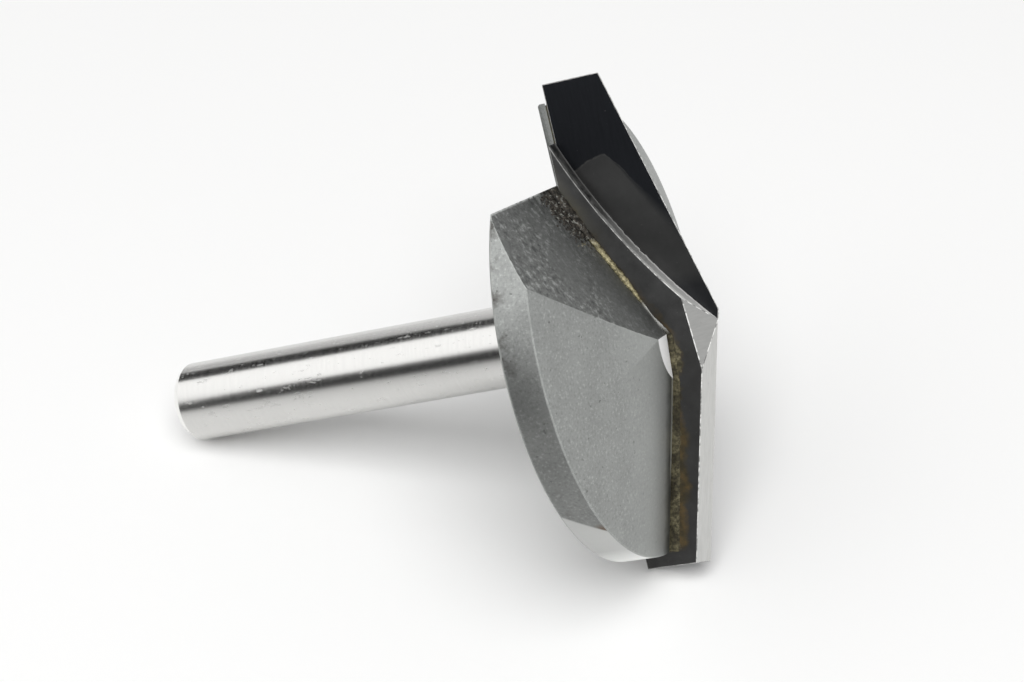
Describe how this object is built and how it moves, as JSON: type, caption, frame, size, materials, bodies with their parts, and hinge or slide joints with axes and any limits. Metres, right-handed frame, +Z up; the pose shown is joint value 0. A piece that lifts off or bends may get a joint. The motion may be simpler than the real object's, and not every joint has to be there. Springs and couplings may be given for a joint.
{
  "type": "v-groove router bit",
  "caption": "Wide-angle v-groove router bit: straight round shank, coned steel head and brazed cutting plates that cross the axis.",
  "frame": {"origin": "on the floor, under the middle of the lying bit's box", "axes": "+X along the bit's run over the floor from shank to point, +Z up"},
  "size_m": [0.0452, 0.0352, 0.0328],
  "materials": {
    "body_steel": "ground shank, blasted head",
    "carbide": "dark sintered carbide with ground edges",
    "braze": "rough braze with flux stains"
  },
  "bodies": {
    "root": {"cutter_body": "body_steel", "carbide_plate_lower": "carbide", "carbide_plate_upper": "carbide", "braze_seam_lower": "braze", "braze_seam_upper": "braze"}
  },
  "joints": []
}
